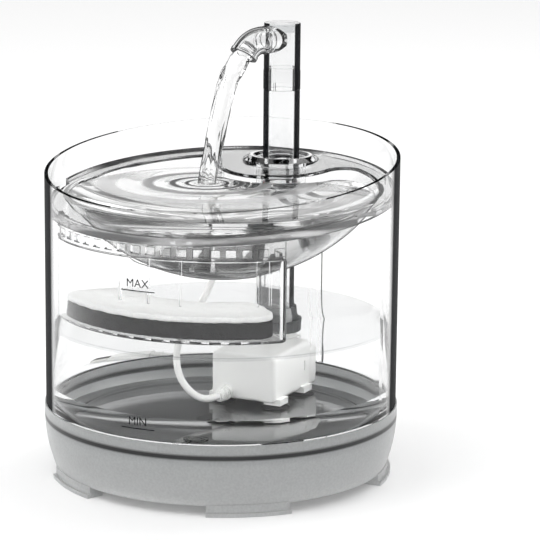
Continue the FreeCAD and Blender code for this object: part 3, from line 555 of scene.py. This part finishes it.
NODE_FINISH = {
    "base_shell": "base", "base_deck": "base", "base_plate": "base", "base_screws": "screw", "tank": "tank",
    "drinking_tray": "tray", "drain_comb": "comb", "filter_box": "filter",
    "riser_tube": "faucet", "riser_collar": "rubber", "riser_seal": "silicone",
    "faucet_stem": "faucet", "faucet_seal": "silicone", "faucet_head": "faucet", "spout": "spout",
    "faucet_cap": "faucet", "pump_housing": "abs", "pump_cover": "abs", "pump_stator": "core",
    "pump_magnet": "magnet", "pump_impeller": "abs", "pump_shaft": "shaft", "pump_bushes": "rubber",
    "pump_cups": "rubber", "pump_gland": "pvc", "cord_grommet": "silicone",
    "usb_plug_body": "pvc", "usb_plug_shell": "nickel",
}


def finish_nodes(materials):
    for name, finish in NODE_FINISH.items():
        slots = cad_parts[name].data.materials
        slots.clear()
        slots.append(materials[finish])


# Soft pads

def soft_pad(name, node, body, material, voxel, waviness, cell):
    """A felt or foam pad in the space of its CAD solid: remeshed fine, its faces uneven and
    its edges soft, all pushed inwards so that it keeps clear of its neighbours."""
    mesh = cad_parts[node].data.copy()
    mesh.name = name
    pad = link(bpy.data.objects.new(name, mesh))
    shape = bmesh.new()
    shape.from_mesh(mesh)
    bmesh.ops.remove_doubles(shape, verts=shape.verts, dist=0.005 * MM)
    shape.to_mesh(mesh)
    shape.free()
    remesh = pad.modifiers.new("remesh", "REMESH")
    remesh.mode, remesh.voxel_size = "VOXEL", voxel
    soften = pad.modifiers.new("soften", "SMOOTH")
    soften.factor, soften.iterations = 0.5, 4
    evaluated = pad.evaluated_get(bpy.context.evaluated_depsgraph_get())
    final = bpy.data.meshes.new_from_object(evaluated)
    pad.modifiers.clear()
    pad.data = final
    normals = [vertex.normal.copy() for vertex in final.vertices]
    for vertex, normal in zip(final.vertices, normals):
        height = noise.fractal(vertex.co / cell, 1.0, 2.0, 3)
        vertex.co += normal * waviness * (0.5 * height - 0.5)
    final.shade_smooth()
    final.materials.clear()
    final.materials.append(material)
    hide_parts(node)
    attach(pad, body)
    return pad


def make_pads(materials):
    """The felt and carbon pads of the filter box, and the sponge in the pump's intake."""
    soft_pad("cotton_pad", "filter_cotton", "filter", materials["felt"],
             voxel=0.9 * MM, waviness=0.5 * MM, cell=4 * MM)
    soft_pad("carbon_pad", "filter_carbon", "filter", materials["carbon"],
             voxel=0.9 * MM, waviness=0.5 * MM, cell=2.5 * MM)
    soft_pad("pump_sponge", "pump_foam", "tank_body", materials["sponge"],
             voxel=0.6 * MM, waviness=0.5 * MM, cell=1.8 * MM)


# Water

def add_piece(name, verts, faces, material, body):
    """A smooth closed mesh that rides on a body."""
    mesh = bpy.data.meshes.new(name)
    mesh.from_pydata(verts, [], faces)
    shape = bmesh.new()
    shape.from_mesh(mesh)
    bmesh.ops.remove_doubles(shape, verts=shape.verts, dist=0.002 * MM)
    bmesh.ops.recalc_face_normals(shape, faces=shape.faces)
    shape.to_mesh(mesh)
    shape.free()
    mesh.shade_smooth()
    mesh.materials.append(material)
    piece = link(bpy.data.objects.new(name, mesh))
    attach(piece, body)


def circle_hits(origin, direction, centre, radius):
    """Distances at which a flat ray, which meets the circle, enters and leaves it."""
    offset = origin - centre
    b = offset.dot(direction)
    under = math.sqrt(max(0.0, b * b - (offset.length_squared - radius * radius)))
    return -b - under, -b + under


def ripple(x, y):
    """Rings that spread from where the stream lands, wider apart further out."""
    far = max((Vector((x, y)) - RIPPLE_AT).length, 4 * MM)
    phase = 1 + math.log(far / RIPPLE_FIRST) / RIPPLE_GROWTH
    return RIPPLE_HEIGHT * math.cos(2 * math.pi * phase) * math.exp(-far / RIPPLE_REACH)


def bowl_water(material):
    """Water in the bowl, round the island: a rippled top and the bowl's curve below."""
    bowl_r = BOWL_INNER_R - WATER_GAP
    edge_r = math.sqrt(bowl_r ** 2 - (BOWL_CENTRE_Z - BOWL_LEVEL) ** 2) - 0.1 * MM
    island_r = ISLAND_R + WATER_GAP
    column = Vector((COLUMN.x, COLUMN.y))
    reach, near = edge_r - POCKET_R, island_r + POCKET_R
    pocket_y = (reach ** 2 - near ** 2 + column.y ** 2) / (2 * column.y)
    pocket = Vector((math.sqrt(reach ** 2 - pocket_y ** 2), pocket_y))
    on_rim = pocket * edge_r / reach - BOWL_HUB
    on_island = column + (pocket - column) * island_r / near - BOWL_HUB
    pocket_from, pocket_to = (math.atan2(at.x, at.y) for at in (on_island, on_rim))
    directions, rings = 480, 110
    middle_share, calm_edge, least_depth = 0.002, 3 * MM, 0.05 * MM

    def edge_at(angle, direction):
        if abs(angle) < pocket_from:
            return circle_hits(BOWL_HUB, direction, column, island_r)[0]
        if abs(angle) < pocket_to:
            side = Vector((math.copysign(pocket.x, angle), pocket.y))
            return circle_hits(BOWL_HUB, direction, side, POCKET_R)[1]
        return circle_hits(BOWL_HUB, direction, Vector((0, 0)), edge_r)[1]

    def index(k, r, low):
        return 2 * ((k % directions) * rings + r) + low

    verts, faces = [], []
    for k in range(directions):
        angle = 2 * math.pi * k / directions - math.pi
        direction = Vector((math.sin(angle), math.cos(angle)))
        far = edge_at(angle, direction)
        for r in range(rings):
            at = BOWL_HUB + direction * far * (middle_share + (1 - middle_share) * r / (rings - 1))
            calm = min(1.0, far * (1 - r / (rings - 1)) / calm_edge)
            below = BOWL_CENTRE_Z - math.sqrt(bowl_r ** 2 - at.length_squared)
            verts.append((at.x, at.y, BOWL_LEVEL + ripple(at.x, at.y) * calm))
            verts.append((at.x, at.y, min(below, BOWL_LEVEL - least_depth)))
    for k in range(directions):
        for r in range(rings - 1):
            faces.append((index(k, r, 0), index(k, r + 1, 0), index(k + 1, r + 1, 0), index(k + 1, r, 0)))
            faces.append((index(k, r, 1), index(k + 1, r, 1), index(k + 1, r + 1, 1), index(k, r + 1, 1)))
        faces.append((index(k, rings - 1, 0), index(k, rings - 1, 1), index(k + 1, rings - 1, 1),
                      index(k + 1, rings - 1, 0)))
    faces.append([index(k, 0, 0) for k in range(directions)])
    faces.append([index(k, 0, 1) for k in reversed(range(directions))])
    add_piece("bowl_water", verts, faces, material, "tray")


def turned_piece(name, profile, material, body):
    """A closed body of revolution from (radius, height) pairs, from axis to axis."""
    around = 192
    verts = [tuple(place_on(r, 360 * k / around, z)) for k in range(around) for r, z in profile]
    count = len(profile)
    faces = []
    for k in range(around):
        for p in range(count - 1):
            a, b = k * count + p, ((k + 1) % around) * count + p
            faces.append((a, b, b + 1, a + 1))
    add_piece(name, verts, faces, material, body)


def tank_water(body_material, skin_material):
    """Water in the tank up to a little under half its height, and its still surface, which
    rises in a meniscus at the wall."""
    wall = TANK_INNER_R - WATER_GAP
    skin_low = TANK_LEVEL - 0.5 * MM
    corner_z, corner_height, corner_steps = 46.0 * MM, 20.0 * MM, 8
    profile = [(0.0, TANK_FLOOR), (TANK_FOOT_R, TANK_FLOOR)]
    for step in range(1, corner_steps + 1):
        angle = math.pi / 2 * step / corner_steps
        profile.append((wall - TANK_FOOT_CORNER * (1 - math.sin(angle)),
                        corner_z - corner_height * math.cos(angle)))
    profile += [(wall, skin_low), (0.0, skin_low)]
    turned_piece("tank_water", profile, body_material, "tank_body")
    low = skin_low + 0.02 * MM
    meniscus = [(0.0, 1.1), (0.4, 0.6), (1.3, 0.15), (3.0, 0.0)]
    surface = [(0.0, low), (wall, low)]
    surface += [(wall - inset * MM, TANK_LEVEL + rise * MM) for inset, rise in meniscus]
    surface.append((0.0, TANK_LEVEL))
    turned_piece("tank_water_surface", surface, skin_material, "tank_body")


def stream_centre(t):
    """The stream's middle: along the elbow for t below 0, then a falling curve. Distance from
    the column's axis and height, in millimetres."""
    if t < 0:
        angle = ELBOW_END * (1 + t)
        along = ELBOW_START + ELBOW_R * math.sin(angle)
        height = SPOUT_Z - ELBOW_R * (1 - math.cos(angle))
        return along / MM, height / MM
    mouth, mouth_z, reach = 25.3, 198.2, 24.2
    slope, fall = 0.59, 0.0824
    travel = reach * t
    return mouth + travel, mouth_z - slope * travel - fall * travel ** 2


def water_stream(material):
    """The falling stream: round in the spout, then pulled into uneven strands."""
    rings, around = 150, 40
    starts, step = -0.35, 0.01
    verts, faces = [], []
    heading = place_on(1, math.degrees(SPOUT_TURN))
    side = Vector((-heading.y, heading.x, 0))
    for r in range(rings):
        t = starts + (1 - starts) * r / (rings - 1)
        d0, z0 = stream_centre(t - step)
        d1, z1 = stream_centre(t + step)
        ahead = (heading * (d1 - d0) + Vector((0, 0, z1 - z0))).normalized()
        across = side.cross(ahead).normalized()
        middle = COLUMN + heading * (d0 + d1) / 2 * MM + Vector((0, 0, (z0 + z1) / 2 * MM))
        free = min(1.0, max(0.0, t / 0.15))
        width = (4.5 + 1.1 * free - 1.0 * max(0.0, t) ** 1.5) * MM
        for k in range(around):
            angle = 2 * math.pi * k / around
            seed = Vector((2.2 * math.cos(angle), 2.2 * math.sin(angle), 3.4 * t))
            strand = noise.fractal(seed + Vector((4.1, 0, 0)), 0.9, 2.0, 3)
            swell = 1 + free * (0.22 * strand + 0.06 * math.sin(3 * angle + 7 * t))
            off = side * math.cos(angle) * width * swell + across * math.sin(angle) * width * 0.8 * swell
            verts.append(tuple(middle + off))
    for r in range(rings - 1):
        for k in range(around):
            a, b = r * around + k, r * around + (k + 1) % around
            faces.append((a, b, b + around, a + around))
    faces.append(list(range(around)))
    faces.append([(rings - 1) * around + k for k in reversed(range(around))])
    add_piece("water_stream", verts, faces, material, "head")


# Level marks

def curved_mark(name, letters, z, material):
    """A word with a line under it, printed on the tank's wall at the front."""
    text = bpy.data.curves.new(name, "FONT")
    text.body, text.size, text.align_x = letters, LETTER_SIZE, "CENTER"
    text.extrude = MARK_THICK / 2
    text.resolution_u = 3
    flat = link(bpy.data.objects.new(name, text))
    bpy.context.view_layer.update()
    mesh = bpy.data.meshes.new_from_object(flat.evaluated_get(bpy.context.evaluated_depsgraph_get()))
    bpy.data.objects.remove(flat)
    shape = bmesh.new()
    shape.from_mesh(mesh)
    steps = 24
    grid = []
    for layer in (-1, 1):
        for k in range(steps + 1):
            x = -LINE_HALF + 2 * LINE_HALF * k / steps
            for y in (LINE_LOW, LINE_HIGH):
                grid.append(shape.verts.new((x, y, layer * MARK_THICK / 2)))
    for k in range(steps):
        a = 2 * k
        b = a + 2 * (steps + 1)
        for quad in [(b, b + 2, b + 3, b + 1), (a, a + 1, a + 3, a + 2), (a, a + 2, b + 2, b),
                     (a + 1, b + 1, b + 3, a + 3)]:
            shape.faces.new([grid[i] for i in quad])
    shape.to_mesh(mesh)
    shape.free()
    for vertex in mesh.vertices:
        angle = math.degrees(vertex.co.x / TANK_R)
        vertex.co = place_on(TANK_R + vertex.co.z + MARK_THICK, angle, z + vertex.co.y)
    mesh.materials.clear()
    mesh.materials.append(material)
    mark = link(bpy.data.objects.new(name, mesh))
    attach(mark, "tank_body")


# Studio

def make_floor():
    """White paper that keeps the shadow, and is a little brighter where it is looked at."""
    mesh = bpy.data.meshes.new("studio_floor")
    half = 3.0
    corners = [(-half, -half, 0), (half, -half, 0), (half, half, 0), (-half, half, 0)]
    mesh.from_pydata(corners, [], [(0, 1, 2, 3)])
    material, tree, place = begin("matt_white_paper")
    seen = add(tree, "ShaderNodeLightPath")
    through = math_node(
        tree, "MAXIMUM", seen.outputs["Is Camera Ray"], seen.outputs["Is Transmission Ray"])
    shown = math_node(tree, "MAXIMUM", through, seen.outputs["Is Glossy Ray"])
    shader = principled(
        tree, Base_Color=linear("#F4F4F4"), Roughness=0.9, Specular_IOR_Level=0.1,
        Emission_Color=linear(WHITE), Emission_Strength=math_node(tree, "MULTIPLY", shown, 0.16))
    finish_material(tree, shader)
    mesh.materials.append(material)
    link(bpy.data.objects.new("studio_floor", mesh))


def make_world():
    """White all round for the eye, with dark studio flags that clear plastic and water pick up."""
    world = bpy.data.worlds.new("studio")
    bpy.context.scene.world = world
    world.use_nodes = True
    tree = world.node_tree
    tree.nodes.clear()
    seen = add(tree, "ShaderNodeLightPath")
    direction = add(tree, "ShaderNodeTexCoord").outputs["Generated"]
    upward = add(tree, "ShaderNodeSeparateXYZ", inputs={"Vector": direction}).outputs["Z"]
    stops = [(0.0, 1.0), (0.18, 1.0), (0.25, DARK_FLAG), (0.66, DARK_FLAG), (0.76, 1.0)]
    ceiling = colour_ramp(tree, upward, [(at, (level, level, level, 1)) for at, level in stops])
    side = add(tree, "ShaderNodeVectorMath", {"operation": "DOT_PRODUCT"}, {
        0: direction, 1: SIDE_FLAG_TOWARDS}).outputs["Value"]
    flags = spread(tree, math_node(tree, "ABSOLUTE", side), 1.0, DARK_FLAG, 0.80, 0.93, smooth=True)
    pattern = math_node(tree, "MULTIPLY", ceiling, flags)
    inside = spread(tree, seen.outputs["Is Transmission Ray"], OPEN_LIGHT, INSIDE_LIGHT)
    past_matt = math_node(tree, "GREATER_THAN", seen.outputs["Diffuse Depth"], 0.5)
    light = add(tree, "ShaderNodeMix", {"data_type": "FLOAT"}, {0: past_matt, 2: pattern, 3: inside})
    level = add(tree, "ShaderNodeMix", {"data_type": "FLOAT"}, {
        0: seen.outputs["Is Camera Ray"], 2: light.outputs[0], 3: 1.0})
    background = add(tree, "ShaderNodeBackground", inputs={
        "Color": (1, 1, 1, 1), "Strength": level.outputs[0]})
    add(tree, "ShaderNodeOutputWorld", inputs={"Surface": background.outputs[0]})


def make_light(name, at, size, power):
    """A square soft light that points at the middle of the fountain."""
    data = bpy.data.lights.new(name, "AREA")
    data.shape, data.size, data.energy = "SQUARE", size, power
    lamp = link(bpy.data.objects.new(name, data))
    lamp.location = at
    lamp.rotation_euler = (Vector((0, 0, 0.1)) - Vector(at)).to_track_quat("-Z", "Y").to_euler()


make_camera()
cords = make_cords()
materials = make_materials()
for piece in cords:
    piece.data.materials.append(materials["pvc"])
finish_nodes(materials)
make_pads(materials)
bowl_water(materials["bowl_water"])
tank_water(materials["tank_water"], materials["tank_skin"])
water_stream(materials["stream"])
curved_mark("mark_max", "MAX", MARK_MAX_Z, materials["ink"])
curved_mark("mark_min", "MIN", MARK_MIN_Z, materials["ink"])
make_floor()
make_world()
make_light("key_softbox", (-0.7, -0.8, 1.5), 1.2, 10.0)
make_light("back_softbox", (0.4, 0.9, 1.4), 1.0, 6.0)
bpy.context.scene.view_settings.view_transform = "Standard"
